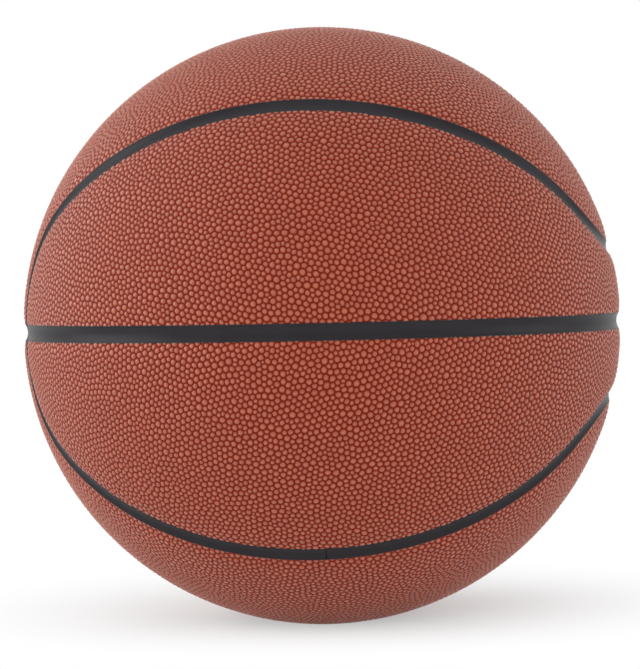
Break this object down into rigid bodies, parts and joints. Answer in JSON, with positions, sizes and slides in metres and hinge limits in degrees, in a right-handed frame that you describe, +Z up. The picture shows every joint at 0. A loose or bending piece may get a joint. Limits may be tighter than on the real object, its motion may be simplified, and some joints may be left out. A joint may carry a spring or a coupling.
{
  "type": "basketball",
  "caption": "Inflated ball with pebbled cover panels set between the black ribs of a rubber carcass, over a winding, a bladder and a needle valve with a plug that pulls out.",
  "frame": {"origin": "the ball's centre", "axes": "X through the two poles where the straight channels cross, Y away from the front, Z up, with the level straight channel in the XY plane"},
  "size_m": [0.2408, 0.2412, 0.2412],
  "materials": {
    "cover": "pebbled, satin",
    "channel_rubber": "smooth, satin",
    "winding": "wound thread",
    "bladder_rubber": "smooth, dull",
    "valve_rubber": "moulded, dull",
    "plug_rubber": "moulded, dull"
  },
  "bodies": {
    "ball": {"front_upper_panel": "cover", "front_lower_panel": "cover", "back_upper_panel": "cover", "back_lower_panel": "cover", "top_front_panel": "cover", "top_back_panel": "cover", "bottom_front_panel": "cover", "bottom_back_panel": "cover", "carcass": "channel_rubber", "thread_winding": "winding", "bladder": "bladder_rubber", "valve_housing": "valve_rubber"},
    "plug": {"valve_plug": "plug_rubber"}
  },
  "joints": [
    {"name": "valve_plug_pull", "type": "slide", "parent": "ball", "child": "plug", "axis": [0, 0.9703, 0.2419], "range_m": [0, 0.02]}
  ]
}
